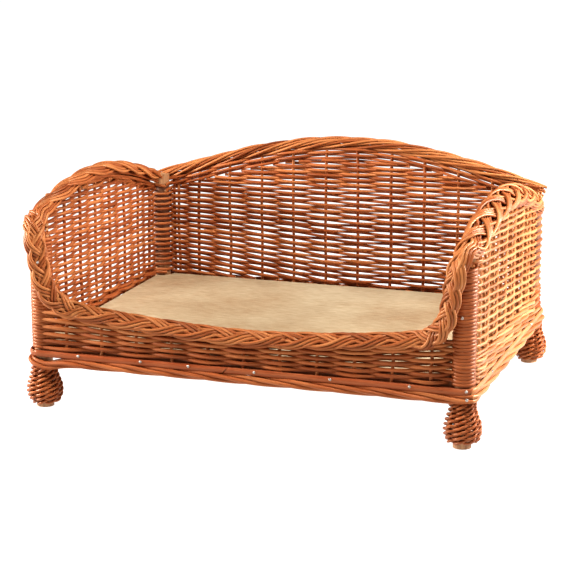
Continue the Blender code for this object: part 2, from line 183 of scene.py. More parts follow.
def tone_near(tone, random):
    """A rod tone not far from another."""
    return clip(tone + random.uniform(-0.3, 0.3))


def rim_height(x):
    """Height of the back rim's centre line."""
    return RIM_PEAK - RIM_DROP * math.sin(math.pi * (x - RIM_PEAK_X) / RIM_WAVE) ** 2


def arm_height(y):
    """Height of the arm plaits' centre line."""
    return ARM_PEAK - ARM_DROP * math.sin(math.pi * (y - ARM_PEAK_Y) / ARM_WAVE) ** 2


def front_height(x):
    """Height of the front plait's centre line, held level past its ends."""
    share = min(abs(x), FRONT_PLAIT_END_X) / FRONT_PLAIT_END_X
    return FRONT_PLAIT_LOW + FRONT_RISE * share**FRONT_RISE_POWER


# Curves and rods


def smooth(knots, steps):
    """A Catmull-Rom curve through the knots, as an array of points."""
    knots = np.asarray(knots, float)
    first = 2.0 * knots[0] - knots[1]
    last = 2.0 * knots[-1] - knots[-2]
    all_knots = np.vstack([first, knots, last])
    t = np.linspace(0.0, 1.0, steps, endpoint=False)[:, None]
    parts = []
    for a, b, c, d in zip(all_knots, all_knots[1:], all_knots[2:], all_knots[3:]):
        cubic = -a + 3.0 * b - 3.0 * c + d
        square = 2.0 * a - 5.0 * b + 4.0 * c - d
        parts.append(0.5 * (2.0 * b + (c - a) * t + square * t**2 + cubic * t**3))
    return np.vstack([*parts, knots[-1:]])


def lengths_along(points):
    """Distance from the first point to each point of a path."""
    steps = np.linalg.norm(np.diff(points, axis=0), axis=1)
    return np.concatenate([[0.0], np.cumsum(steps)])


def resample(points, step):
    """The same path with points about one step apart."""
    along = lengths_along(points)
    count = max(int(round(along[-1] / step)), 2)
    wanted = np.linspace(0.0, along[-1], count + 1)
    return np.stack([np.interp(wanted, along, points[:, axis]) for axis in range(3)], axis=1)


def unit(vectors):
    """The vectors at length 1."""
    return vectors / np.maximum(np.linalg.norm(vectors, axis=-1, keepdims=True), 1e-12)


def tangents_of(points):
    """Unit direction of a path at each point."""
    return unit(np.gradient(points, axis=0))


def turned_frames(points):
    """Two unit directions across a path at each point, which turn with it and never twist."""
    tangents = tangents_of(points)
    across = np.cross(tangents[0], UP)
    if np.linalg.norm(across) < 1e-6:
        across = np.cross(tangents[0], (1.0, 0.0, 0.3))
    side = unit(across)
    sides = []
    for tangent in tangents:
        side = unit(side - tangent * np.dot(side, tangent))
        sides.append(side)
    sides = np.array(sides)
    return sides, np.cross(tangents, sides)


def circled(x, y, reach, turn, heights):
    """Points round an upright at x, y: reach, turn or heights may change along them."""
    return np.stack([x + reach * np.cos(turn), y + reach * np.sin(turn), heights], axis=1)


def runs_of(labels):
    """Each run of equal labels: its label, its first place, and the place it shares with the next run."""
    runs = []
    start = 0
    for place in range(1, len(labels) + 1):
        if place == len(labels) or labels[place] != labels[start]:
            runs.append((labels[start], start, min(place, len(labels) - 1)))
            start = place
    return runs


def add_object(name, mesh):
    """An object for a finished mesh, riding on the body."""
    obj = bpy.data.objects.new(name, mesh)
    bpy.context.collection.objects.link(obj)
    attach(obj, BODY)
    return obj


class Rods:
    """The rods of one piece, gathered into a single mesh with a tone for each rod."""

    ROUND = (1.0, 1.0)
    THICKNESS_WAVE = 0.035
    WAVES_PER_METRE = 95.0
    UV_START_RANGE = 4.0
    CAP_UV_STEP = 0.001
    SHARP_ANGLE = math.radians(66.0)

    def __init__(self, seed):
        self.random = Random(seed)
        self.vertices = []
        self.faces = []
        self.caps = []
        self.face_uvs = []
        self.tones = []
        self.count = 0

    def add(self, points, radius, tone=None, sides=7, thin=ROUND, taper=0.0, slant=0.0):
        """One rod along the points. thin scales its section across and upwards, taper thins its last end,
        and slant leans its ends like a mitre."""
        points = np.asarray(points, float)
        if len(points) < 3:
            return
        if tone is None:
            tone = self.random.random()
        side, top = turned_frames(points)
        along = lengths_along(points)
        wave = self.random.uniform(0.0, ANY_ANGLE)
        radii = radius * (1.0 - taper * (along / along[-1]))
        radii = radii * (1.0 + self.THICKNESS_WAVE * np.sin(along * self.WAVES_PER_METRE + wave))
        turn = np.arange(sides) / sides * TURN
        if thin == self.ROUND:
            turn = turn + wave
        sideways = np.cos(turn) * thin[0]
        upwards = np.sin(turn) * thin[1]
        ring = side[:, None, :] * sideways[None, :, None] + top[:, None, :] * upwards[None, :, None]
        ring = ring + tangents_of(points)[:, None, :] * (upwards * slant)[None, :, None]
        body = points[:, None, :] + ring * radii[:, None, None]
        self.vertices.append(body.reshape(-1, 3))
        self.tones.append(np.full(len(points) * sides, tone))
        start = self.random.uniform(0.0, self.UV_START_RANGE)
        self.add_skin(start + along, np.arange(sides + 1) / sides * TURN * radius)
        self.add_caps(start, tone, len(points), sides)
        self.count += len(points) * sides

    def add_skin(self, along, around):
        """The faces between a rod's rings, with their texture places along and around it."""
        sides = len(around) - 1
        for row in range(len(along) - 1):
            low = self.count + row * sides
            u0, u1 = along[row], along[row + 1]
            for corner in range(sides):
                after = (corner + 1) % sides
                v0, v1 = around[corner], around[corner + 1]
                self.faces.append((low + corner, low + after, low + sides + after, low + sides + corner))
                self.face_uvs.append(((u0, v0), (u0, v1), (u1, v1), (u1, v0)))

    def add_caps(self, start, tone, rings, sides):
        """The two cut ends of a rod."""
        last_ring = self.count + (rings - 1) * sides
        first = tuple(self.count + corner for corner in reversed(range(sides)))
        last = tuple(last_ring + corner for corner in range(sides))
        for cap in (first, last):
            self.caps.append(len(self.faces))
            self.faces.append(cap)
            self.face_uvs.append(tuple((start + self.CAP_UV_STEP * corner, tone) for corner in range(sides)))

    def piece(self, name, material, nodes=(), slot="willow_weave"):
        """The finished mesh object, in place of the CAD nodes where any are given."""
        mesh = bpy.data.meshes.new(name)
        mesh.from_pydata(np.vstack(self.vertices).tolist(), [], self.faces)
        layer = mesh.uv_layers.new(name=ROD_UV)
        flat = np.array([pair for face in self.face_uvs for pair in face], np.float32)
        layer.data.foreach_set("uv", flat.reshape(-1))
        attribute = mesh.attributes.new(TONE, "FLOAT", "POINT")
        attribute.data.foreach_set("value", np.concatenate(self.tones).astype(np.float32))
        mesh.materials.append(material)
        mesh.materials.append(CUT_END)
        mesh.polygons.foreach_set("use_smooth", [True] * len(mesh.polygons))
        for index in self.caps:
            mesh.polygons[index].material_index = 1
        mesh.set_sharp_from_angle(angle=self.SHARP_ANGLE)
        obj = add_object(name, mesh)
        if nodes:
            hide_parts(*nodes)


# Materials


class Nodes:
    """Short calls to make and link the nodes of one material."""

    def __init__(self, name):
        self.material = bpy.data.materials.new(name)
        self.material.use_nodes = True
        self.tree = self.material.node_tree
        self.shader = self.tree.nodes["Principled BSDF"]

    def new(self, kind, **settings):
        node = self.tree.nodes.new(kind)
        for key, value in settings.items():
            setattr(node, key, value)
        return node

    def link(self, out_socket, in_socket):
        self.tree.links.new(out_socket, in_socket)

    def place(self):
        """The object's own coordinates."""
        return self.new("ShaderNodeTexCoord").outputs["Object"]

    def noise(self, vector, scale, detail=3.0, w=None):
        node = self.new("ShaderNodeTexNoise", noise_dimensions="4D" if w else "3D")
        node.inputs["Scale"].default_value = scale
        node.inputs["Detail"].default_value = detail
        self.link(vector, node.inputs["Vector"])
        if w:
            self.link(w, node.inputs["W"])
        return node.outputs["Fac"]

    def spots(self, vector, size):
        """Small round spots, 1 inside and 0 outside, one in each cell of the vector."""
        node = self.new("ShaderNodeTexVoronoi", voronoi_dimensions="2D")
        self.link(vector, node.inputs["Vector"])
        node.inputs["Scale"].default_value = 1.0
        return self.ramp(node.outputs["Distance"], ((0.05, grey(1.0)), (size, grey(0.0))))

    def stretched(self, vector, scale):
        node = self.new("ShaderNodeMapping")
        node.inputs["Scale"].default_value = scale
        self.link(vector, node.inputs["Vector"])
        return node.outputs["Vector"]

    def ramp(self, value, stops):
        node = self.new("ShaderNodeValToRGB")
        points = node.color_ramp.elements
        while len(points) < len(stops):
            points.new(0.5)
        for point, (place, colour) in zip(points, stops):
            point.position = place
            point.color = colour
        self.link(value, node.inputs["Fac"])
        return node.outputs["Color"]

    def math(self, operation, first, second):
        node = self.new("ShaderNodeMath", operation=operation)
        for socket, value in zip(node.inputs, (first, second)):
            if isinstance(value, (int, float)):
                socket.default_value = value
            else:
                self.link(value, socket)
        return node.outputs["Value"]

    def blend(self, *parts):
        """The sum of values, each times its own share."""
        terms = [self.math("MULTIPLY", value, share) for value, share in parts]
        total = terms[0]
        for term in terms[1:]:
            total = self.math("ADD", total, term)
        return total

    def mix(self, share, first, second, kind="MIX"):
        node = self.new("ShaderNodeMix", data_type="RGBA", blend_type=kind)
        for name, value in (("Factor", share), ("A", first), ("B", second)):
            matching = [s for s in node.inputs if s.name == name and s.enabled]
            if isinstance(value, (int, float, tuple)):
                matching[0].default_value = value
            else:
                self.link(value, matching[0])
        return [s for s in node.outputs if s.enabled][0]

    def colour(self, socket):
        self.link(socket, self.shader.inputs["Base Color"])

    def roughness(self, value, low, high):
        """Roughness that follows a value between two places, each given with the roughness there."""
        stops = tuple((place, grey(rough)) for place, rough in (low, high))
        self.link(self.ramp(value, stops), self.shader.inputs["Roughness"])

    def bump(self, height, distance, strength):
        node = self.new("ShaderNodeBump")
        node.inputs["Distance"].default_value = distance
        node.inputs["Strength"].default_value = strength
        self.link(height, node.inputs["Height"])
        self.link(node.outputs["Normal"], self.shader.inputs["Normal"])


def willow(name, dark, middle, light, roughness=0.44):
    """Peeled willow: a tone per rod, long fine streaks, scattered knots and a satin skin."""
    streak_scale = (14.0, 900.0, 1.0)
    patch_scale = (22.0, 60.0, 1.0)
    knot_scale = (24.0, 120.0, 1.0)
    knot_size = 0.11
    knot_share = 0.55
    streak_share = 0.75
    n = Nodes(name)
    uv = n.new("ShaderNodeUVMap", uv_map=ROD_UV).outputs["UV"]
    tone = n.new("ShaderNodeAttribute", attribute_name=TONE).outputs["Fac"]
    rod_offset = n.math("MULTIPLY", tone, 37.0)
    streaks = n.noise(n.stretched(uv, streak_scale), 1.0, 4.0, rod_offset)
    patches = n.noise(n.stretched(uv, patch_scale), 1.0, 2.0, rod_offset)
    broad = n.noise(n.place(), 9.0, 2.0)
    mixed = n.blend((tone, 0.36), (patches, 0.42), (broad, 0.30))
    base = n.ramp(mixed, ((0.22, dark), (0.50, middle), (0.86, light)))
    streaked = n.ramp(streaks, ((0.30, grey(0.62)), (0.55, grey(1.0)), (0.80, grey(1.12))))
    coloured = n.mix(streak_share, base, streaked, "MULTIPLY")
    knots = n.spots(n.stretched(uv, knot_scale), knot_size)
    n.colour(n.mix(n.math("MULTIPLY", knots, knot_share), coloured, dark))
    n.roughness(patches, (0.30, roughness - 0.10), (0.75, roughness + 0.14))
    n.shader.inputs["Specular IOR Level"].default_value = 0.46
    n.shader.inputs["Specular Tint"].default_value = (1.0, 0.78, 0.50, 1.0)
    n.bump(n.math("ADD", streaks, n.math("MULTIPLY", knots, 0.6)), 0.0005, 0.35)
    return n.material


def wood(name, dark, light, scale, stretch, roughness=0.55, painted_shade=None):
    """Plain peeled timber with a grain along one direction, and a dark band painted on its middle if a
    colour for it is given: painted shade for the woven rows that cover it.
    """
    painted_shade_share = 0.85
    n = Nodes(name)
    place = n.place()
    grain = n.noise(n.stretched(place, stretch), scale, 5.0)
    patches = n.noise(place, 14.0, 2.0)
    colour = n.ramp(n.blend((grain, 0.7), (patches, 0.3)), ((0.36, dark), (0.64, light)))
    # Painted shade: a dark band from about 0.13 m up to 0.26 m high, where woven rows cover and shade the
    # post.
    if painted_shade:
        apart = n.new("ShaderNodeSeparateXYZ")
        n.link(place, apart.inputs["Vector"])
        twice_height = n.math("MULTIPLY", apart.outputs["Z"], 2.0)
        bottom = ((0.22, grey(0.0)), (0.30, grey(1.0)))
        top = ((0.524, grey(1.0)), (0.530, grey(0.0)))
        where = n.ramp(twice_height, bottom + top)
        colour = n.mix(n.math("MULTIPLY", where, painted_shade_share), colour, painted_shade)
    n.colour(colour)
    n.roughness(grain, (0.2, roughness - 0.08), (0.8, roughness + 0.12))
    n.bump(grain, 0.0006, 0.3)
    return n.material


def board_material():
    """Unpainted fibre board: pale tan, with fibres, fine flecks and rubbed patches."""
    shades = ((0.36, srgb(170, 142, 108)), (0.52, srgb(190, 168, 134)), (0.66, srgb(206, 188, 154)))
    fleck_colour = srgb(214, 190, 154)
    fleck_size = 0.10
    fleck_share = 0.6
    n = Nodes("board_face")
    place = n.place()
    fibres = n.noise(n.stretched(place, (60.0, 260.0, 60.0)), 1.0, 5.0)
    patches = n.noise(place, 7.0, 3.0)
    base = n.ramp(n.blend((fibres, 0.45), (patches, 0.55)), shades)
    flecks = n.spots(n.stretched(place, (90.0, 160.0, 90.0)), fleck_size)
    n.colour(n.mix(n.math("MULTIPLY", flecks, fleck_share), base, fleck_colour))
    n.roughness(patches, (0.3, 0.52), (0.7, 0.68))
    n.bump(fibres, 0.0004, 0.25)
    return n.material


def nail_material():
    """Bright steel with rubbed, slightly dull spots."""
    n = Nodes("nail_head")
    spots = n.noise(n.place(), 900.0, 3.0)
    n.colour(n.ramp(spots, ((0.35, srgb(120, 112, 104)), (0.65, srgb(205, 200, 192)))))
    n.roughness(spots, (0.3, 0.25), (0.8, 0.5))
    n.shader.inputs["Metallic"].default_value = 0.9
    return n.material


def floor_material():
    """Pale matt studio paper, which glows a little so that it stays white behind the object."""
    n = Nodes("studio_floor")
    n.colour(n.ramp(n.noise(n.place(), 3.0), ((0.0, grey(0.24)), (1.0, grey(0.27)))))
    n.shader.inputs["Roughness"].default_value = 0.9
    n.shader.inputs["Specular IOR Level"].default_value = 0.1
    n.shader.inputs["Emission Color"].default_value = (1.0, 1.0, 1.0, 1.0)
    n.shader.inputs["Emission Strength"].default_value = 0.86
    return n.material


WILLOW = willow("willow_weavers", srgb(118, 54, 26), srgb(158, 84, 44), srgb(194, 124, 74))
PLAIT_WILLOW = willow("willow_plaits", srgb(112, 52, 25), srgb(156, 85, 45), srgb(200, 134, 82))
# A paler copy of the willow for everything on the right side, which faces the key light: painted light for
# the lit side.
LIT_RIGHT_WILLOW = willow("willow_lit_right", srgb(132, 68, 34), srgb(178, 112, 66), srgb(210, 154, 102))
SPLIT_WILLOW = willow("willow_band", srgb(116, 52, 28), srgb(146, 74, 42), srgb(172, 100, 60), 0.36)
STICK_WILLOW = willow("willow_stakes", srgb(128, 60, 34), srgb(170, 92, 52), srgb(206, 138, 88))
CUT_END = wood("cut_ends", srgb(180, 132, 86), srgb(214, 172, 126), 300.0, (1.0, 1.0, 1.0), 0.7)
# The posts' dark middle band is painted shade, standing in for the shade of the woven rows over them.
POST_WOOD = wood(
    "post_timber", srgb(150, 102, 66), srgb(192, 146, 104), 1.0, (160.0, 160.0, 14.0), painted_shade=srgb(92, 46, 24)
)
# The rails are coloured darker so that what shows of them through the weave reads as shade: painted shade.
RAIL_WOOD = wood("rail_timber", srgb(128, 74, 38), srgb(164, 102, 56), 1.0, (60.0, 60.0, 160.0))
NAIL = nail_material()


# Walls


def support(x, y, out, reach, wall):
    """One upright that weavers pass: its place, the outward direction and how far off the weavers'
    centres stay."""
    direction = np.array(out, float) / np.hypot(*out)
    return {"place": np.array([x, y]), "out": direction, "reach": reach, "wall": wall}


def ring_supports():
    """All the uprights from the front left post, round the back, to the front right post."""
    loose = STAKE_RADIUS + WEAVER_RADIUS
    tight = STAKE_RADIUS + 0.8 * WEAVER_RADIUS
    corner = POST_RADIUS + WEAVER_RADIUS
    tucked = POST_RADIUS - 0.0020
    side_x = POST_X + WALL_OUT
    back_y = POST_BACK_Y + WALL_OUT
    supports = [support(-POST_X, POST_FRONT_Y, (-1.0, 0.0), tucked, "left")]
    supports += [support(-side_x, y, (-1.0, 0.0), tight, "left") for y in LEFT_STAKES_Y]
    supports.append(support(-POST_X, POST_BACK_Y, (-1.0, 1.0), corner, "corner_left"))
    supports += [support(x, back_y, (0.0, 1.0), loose, "back") for x in BACK_STAKES_X]
    supports.append(support(POST_X, POST_BACK_Y, (1.0, 1.0), corner, "corner_right"))
    supports += [support(side_x, y, (1.0, 0.0), tight, "right") for y in reversed(RIGHT_STAKES_Y)]
    supports.append(support(POST_X, POST_FRONT_Y, (1.0, 0.0), tucked, "right"))
    return supports


def row_height(index, place, wall):
    """Nominal height of a level row: rows sag away from the left end of the back and lean along the arms."""
    x, y = place
    level = ROWS_START + ROW_PITCH * index
    if wall in ("left", "corner_left"):
        return level - LEFT_LEAN * (y - POST_FRONT_Y)
    arm_drop = LEFT_LEAN * (POST_BACK_Y - POST_FRONT_Y)
    sag = SAG * (1.0 - clip((level - SAG_FULL_BELOW) / SAG_FADE))
    if wall == "right":
        return level - arm_drop - sag + RIGHT_LEAN * (POST_BACK_Y - y)
    across = (x + POST_X) / (2.0 * POST_X)
    return level - arm_drop - sag * ease(across * SAG_WIDENING + SAG_AT_LEFT)


def weave_top(place, wall):
    """Height where a wall's weave ends, under the rim or an arm plait."""
    x, y = place
    if wall in ("left", "right"):
        return arm_height(y) + WEAVE_INTO_PLAIT
    return rim_height(x) - WEAVE_UNDER_RIM


def row_limits(place, wall):
    """Lowest and highest place of the level rows, between the wales below and the arched rows above."""
    arched_rows = ARCHED_ROWS_ARM if wall in ("left", "right") else ARCHED_ROWS_BACK
    return LOWEST_ROW[wall], weave_top(place, wall) - arched_rows * ARCHED_PITCH


def walls_along(supports, count):
    """The wall that each of a row's points belongs to, that of the nearest upright."""
    nearest = np.round(np.arange(count) / ROW_STEPS).astype(int)
    return [supports[min(place, len(supports) - 1)]["wall"] for place in nearest]


def weave(store, supports, heights, phase, limits=None):
    """One row through all the supports, cut where the wall part changes and where it leaves its limits."""
    random = store["random"]
    knots = []
    for number, (one, height) in enumerate(zip(supports, heights)):
        side = 1.0 if (number + phase) % 2 else -1.0
        depth = one["reach"] * side + random.gauss(0.0, DEPTH_WANDER)
        spot = one["place"] + one["out"] * depth
        knots.append((spot[0], spot[1], height + random.gauss(0.0, HEIGHT_WANDER)))
    points = smooth(knots, ROW_STEPS)
    labels = walls_along(supports, len(points))
    if limits is not None:
        sample = np.arange(len(points)) / ROW_STEPS
        places = np.arange(len(supports))
        low = np.interp(sample, places, [pair[0] for pair in limits])
        high = np.interp(sample, places, [pair[1] for pair in limits])
        inside = (points[:, 2] >= low) & (points[:, 2] <= high)
        labels = [wall if kept else None for wall, kept in zip(labels, inside)]
    tone = random.random()
    scale = random.uniform(0.90, 1.09)
    for wall, start, end in runs_of(labels):
        run = points[start : end + 1]
        if wall and len(run) >= 4:
            lay_row(store[wall], run, WALL_RADII.get(wall, WEAVER_RADIUS) * scale, tone, random)


def lay_row(rods, run, radius, tone, random):
    """A row's rod, or two rods side by side where one ends and the next begins."""
    shortest_joined = 45
    joined_share = 0.45
    end_margin = 18
    lap = 6
    drop = 0.0011
    if len(run) > shortest_joined and random.random() < joined_share:
        middle = random.randrange(end_margin, len(run) - end_margin)
        first = run[: middle + lap].copy()
        second = run[middle - lap :].copy()
        bend = np.linspace(0.0, 1.0, 2 * lap)
        first[-2 * lap :, 2] -= drop * bend
        second[: 2 * lap, 2] += drop * (1.0 - bend)
        rods.add(first, radius, tone, taper=0.12)
        rods.add(second, radius * 0.97, tone_near(tone, random))
    else:
        rods.add(run, radius, tone, taper=random.uniform(-0.05, 0.12))


def wale(store, supports, bottoms, turn):
    """A three-rod wale: each rod passes outside two uprights and inside the next, and climbs as it does."""
    climb = (0.0, 2.1, 0.9)
    height_wander = 0.0002
    random = store["random"]
    for rod_number in range(3):
        knots = []
        for number, (one, bottom) in enumerate(zip(supports, bottoms)):
            stage = (number + rod_number + turn) % 3
            depth = (one["reach"] + 0.0004, one["reach"] + 0.0012, -one["reach"])[stage]
            spot = one["place"] + one["out"] * depth
            height = bottom + climb[stage] * WALE_RADIUS
            knots.append((spot[0], spot[1], height + random.gauss(0.0, height_wander)))
        points = smooth(knots, ROW_STEPS)
        tone = random.random()
        for wall, start, end in runs_of(walls_along(supports, len(points))):
            if end - start > 3:
                store[wall].add(points[start : end + 1], WALE_RADIUS, tone)


def add_wales(store, supports):
    """The wales at the board: the lowest runs all round, those above it only at the arms and corners."""
    for level in range(max(WALE_LEVELS.values())):
        part = [s for s in supports if WALE_LEVELS[s["wall"]] > level]
        groups = [part]
        if level > 0:
            groups = [[s for s in part if s["wall"].endswith(end)] for end in ("left", "right")]
        for group in filter(None, groups):
            bottoms = []
            for one in group:
                lift = WALE_LIFT_BACK if one["wall"] == "back" else 0.0
                bottoms.append(WALE_BOTTOM + WALE_PITCH * level + lift)
            wale(store, group, bottoms, level)


def make_ring_walls():
    """Back, arms and rear corners: level rows, arched rows under the rims, and wales at the board."""
    supports = ring_supports()
    looks = {
        "left": (40, "arm_weave_left", WILLOW, "woven_arm_left"),
        # The right arm wears the paler lit copy of the willow: painted light.
        "right": (44, "arm_weave_right", LIT_RIGHT_WILLOW, "woven_arm_right"),
        "back": (42, "back_weave", WILLOW, "woven_back"),
        "corner_left": (41, "corner_weave_left", WILLOW, "post_winding_back_left"),
        "corner_right": (43, "corner_weave_right", WILLOW, "post_winding_back_right"),
    }
    store = {wall: Rods(look[0]) for wall, look in looks.items()}
    store["random"] = Random(7)
    limits = [row_limits(s["place"], s["wall"]) for s in supports]
    for index in range(ROW_COUNT):
        heights = [row_height(index, s["place"], s["wall"]) for s in supports]
        weave(store, supports, heights, index, limits)
    left_post = 1 + len(LEFT_STAKES_Y)
    right_post = left_post + 1 + len(BACK_STAKES_X)
    arches = (
        ("left", 0, left_post, ARCHED_ROWS_ARM),
        ("back", left_post, right_post, ARCHED_ROWS_BACK),
        ("right", right_post, len(supports) - 1, ARCHED_ROWS_ARM),
    )
    for wall, first, last, rows in arches:
        part = supports[first : last + 1]
        for row in range(rows):
            drop = ARCHED_PITCH * (row + 0.5)
            heights = [weave_top(s["place"], wall) - drop for s in part]
            weave(store, part, heights, row + first)
    add_wales(store, supports)
    for wall, (_, name, material, node) in looks.items():
        store[wall].piece(name, material, [node])


def make_front_wall():
    """The low front wall: thicker rows that fan out at the posts and slide under the plait."""
    rows = 12
    first_row = 0.0962
    pitch = 0.0043
    fan = 0.30
    tuck_under_plait = 0.002
    post_lift = 0.012
    reach = STAKE_RADIUS + 0.0018
    tucked = POST_RADIUS - 0.0020
    forwards = (0.0, -1.0)
    supports = [support(-POST_X, POST_FRONT_Y - POST_RADIUS + 0.0010, forwards, 0.0, "front")]
    supports += [support(x, POST_FRONT_Y - WALL_OUT, forwards, reach, "front") for x in FRONT_STAKES_X]
    supports.append(support(POST_X, POST_FRONT_Y, forwards, tucked, "front"))
    places = [one["place"][0] for one in supports]
    store = {"front": Rods(61), "random": Random(62)}
    tops = [front_height(x) + post_lift * ease((abs(x) - 0.25) / 0.05) for x in places]
    limits = [(0.0, top - tuck_under_plait) for top in tops]
    lifts = [1.0 + fan * ease((abs(x) - 0.17) / 0.15) for x in places]
    for index in range(rows):
        heights = [first_row + pitch * index * lift for lift in lifts]
        weave(store, supports, heights, index, limits)
    store["front"].piece("front_weave", WILLOW, ["woven_front"])


def stake(rods, random, x, y, top):
    """One upright stake, slightly crooked."""
    spans = 5
    crook_x = 0.0007
    crook_y = 0.0004
    knots = []
    for step in range(spans + 1):
        height = STAKE_BOTTOM + (top - STAKE_BOTTOM) * step / spans
        knots.append((x + random.gauss(0.0, crook_x), y + random.gauss(0.0, crook_y), height))
    rods.add(resample(smooth(knots, 6), 0.006), STAKE_RADIUS * random.uniform(0.92, 1.05), sides=8)


def make_stakes():
    """Upright stakes: one piece for each in the back, doubled at its ends, and a set for each other wall."""
    into_rim = 0.012
    into_plait = 0.004
    pair_offset = 0.0036
    random = Random(11)
    for number, x in enumerate(BACK_STAKES_X, start=1):
        rods = Rods(100 + number)
        offsets = (-pair_offset, pair_offset) if abs(x) == BACK_END_STAKE_X else (0.0,)
        for offset in offsets:
            stake(rods, random, x + offset, POST_BACK_Y + WALL_OUT, rim_height(x) - into_rim)
        node = f"back_stake_{number:02d}"
        rods.piece(f"back_stake_rod_{number:02d}", STICK_WILLOW, [node], "willow_stick")
    # The right stakes take the paler lit copy of the willow: painted light.
    arms = (("left", -1, LEFT_STAKES_Y, STICK_WILLOW), ("right", 1, RIGHT_STAKES_Y, LIT_RIGHT_WILLOW))
    for name, side, places, material in arms:
        rods = Rods(120 + side)
        for y in places:
            stake(rods, random, side * (POST_X + WALL_OUT), y, arm_height(y) - into_plait)
        rods.piece(f"arm_stakes_{name}", material, slot="willow_stick")
    rods = Rods(130)
    for x in FRONT_STAKES_X:
        stake(rods, random, x, POST_FRONT_Y - WALL_OUT, front_height(x) - into_plait)
    rods.piece("front_stakes", STICK_WILLOW, slot="willow_stick")


# Posts and feet


def make_windings():
    """Rods turned round the front posts, ring on ring, with their ends towards the inside."""
    ring_radius = 0.0029
    ring_offset = 0.0019
    pitch = 0.0052
    points_per_ring = 49
    random = Random(21)
    count = int((WINDING_TOP - WINDING_BOTTOM) / pitch)
    for name, side, ends_at in (("left", -1, 45.0), ("right", 1, 135.0)):
        rods = Rods(140 + side)
        for number in range(count + 1):
            height = WINDING_BOTTOM + pitch * number
            tilt = random.gauss(0.0, 0.0005)
            lean = random.uniform(0.0, ANY_ANGLE)
            radius = ring_radius * random.uniform(0.95, 1.04)
            start = math.radians(ends_at) + random.gauss(0.0, 0.15)
            turn = np.linspace(start, start + TURN, points_per_ring)
            reach = POST_RADIUS + ring_offset + random.uniform(0.0, 0.0003)
            points = circled(side * POST_X, POST_FRONT_Y, reach, turn, height + tilt * np.cos(turn - lean))
            rods.add(points, radius, random.uniform(0.0, 0.4), sides=10, thin=(0.70, 1.0))
        rods.piece(f"winding_{name}", WILLOW, [f"post_winding_front_{name}"])


def foot_radius(heights):
    """Outer radius of a foot's wrapping at some heights: a bulb that closes in at the floor."""
    neck = 0.0203
    bulb = 0.0080
    bulb_z = 0.027
    bulb_reach = 0.034
    closing = 0.0045
    closing_from = 0.015
    closing_height = 0.011
    radii = []
    for z in heights:
        bulge = 0.5 + 0.5 * math.cos(math.pi * min(abs(z - bulb_z) / bulb_reach, 1.0))
        radii.append(neck + bulb * bulge - closing * ease((closing_from - z) / closing_height))
    return np.array(radii)


def foot_strand(random, x, y, lead, strand):
    """One of a foot's two long rods, which spiral up together and cross between the uprights."""
    steps_per_turn = 64
    inset = 0.0046
    swing = 0.0032
    rise = 0.0025
    depth_wander = 0.00028
    turns = (FOOT_STRAND_TOP - FOOT_STRAND_BOTTOM) / FOOT_PITCH
    steps = int(turns * steps_per_turn)
    turn = np.linspace(0.0, turns * TURN, steps)
    height = FOOT_STRAND_BOTTOM + FOOT_PITCH * turn / TURN
    twist = turn * FOOT_UPRIGHTS / 2.0 + strand
    wobble = np.array([random.gauss(0.0, depth_wander) for _ in turn])
    wobble = np.convolve(wobble, np.ones(7) / 3.0, mode="same")
    reach = foot_radius(height) - inset + swing * np.cos(twist) + wobble
    return circled(x, y, reach, turn + lead, height + rise * np.sin(twist))


def make_foot(name, seed, x, y):
    """A foot: a pair of thin rods twisted round each other and round the uprights, up the post."""
    stretches = 5
    upright_inset = 0.0060
    upright_radius = 0.0016
    rods = Rods(seed)
    random = Random(seed)
    lead = random.uniform(0.0, ANY_ANGLE)
    for strand in (0.0, math.pi):
        points = foot_strand(random, x, y, lead, strand)
        cut = len(points) // stretches
        for part in range(stretches):
            end = (part + 1) * cut + 2 if part < stretches - 1 else len(points)
            radius = FOOT_ROD_RADIUS * random.uniform(0.92, 1.08)
            rods.add(points[part * cut : end], radius, random.uniform(0.0, 0.6))
    heights = np.linspace(FOOT_STRAND_BOTTOM, FOOT_WRAP_TOP, 14)
    for number in range(FOOT_UPRIGHTS):
        angle = TURN * (number + 0.5) / FOOT_UPRIGHTS + lead
        reach = foot_radius(heights) - upright_inset
        rods.add(circled(x, y, reach, angle, heights), upright_radius, sides=6)
    rods.piece(f"foot_weave_{name}", WILLOW, [f"woven_foot_{name}"])


def make_feet():
    """The four feet."""
    for row, y, first_seed in (("front", POST_FRONT_Y, 164), ("back", POST_BACK_Y, 160)):
        for name, side in (("left", -1), ("right", 1)):
            make_foot(f"{row}_{name}", first_seed + side, side * POST_X, y)


# Ropes, band and plaits


def corner_loop(out, height, radius):
    """A rounded rectangle round the posts, as one closed path from the middle of the back."""
    corner_steps = 8
    middle = (0.0, POST_BACK_Y + out, height)
    corners = (
        (-POST_X, POST_BACK_Y, 90.0),
        (-POST_X, POST_FRONT_Y, 180.0),
        (POST_X, POST_FRONT_Y, 270.0),
        (POST_X, POST_BACK_Y, 360.0),
    )
    points = [middle]
    for x, y, start in corners:
        centre_x = x + math.copysign(out - radius, x)
        centre_y = y + math.copysign(out - radius, y)
        for step in range(corner_steps + 1):
            angle = math.radians(start + 90.0 * step / corner_steps)
            points.append((centre_x + radius * math.cos(angle), centre_y + radius * math.sin(angle), height))
    points.append(middle)
    return resample(np.array(points), LOOP_STEP)


def side_of(point):
    """Which side of the basket a point of a loop belongs to."""
    x, y, _ = point
    reach = 0.012
    if abs(x) < POST_X + reach and y < POST_FRONT_Y - reach:
        return "front"
    if abs(x) < POST_X + reach and y > POST_BACK_Y + reach:
        return "back"
    return "left" if x < 0.0 else "right"


def by_side(path):
    """Runs of a loop's points on each side, with one shared point where they meet."""
    return runs_of([side_of(point) for point in path])


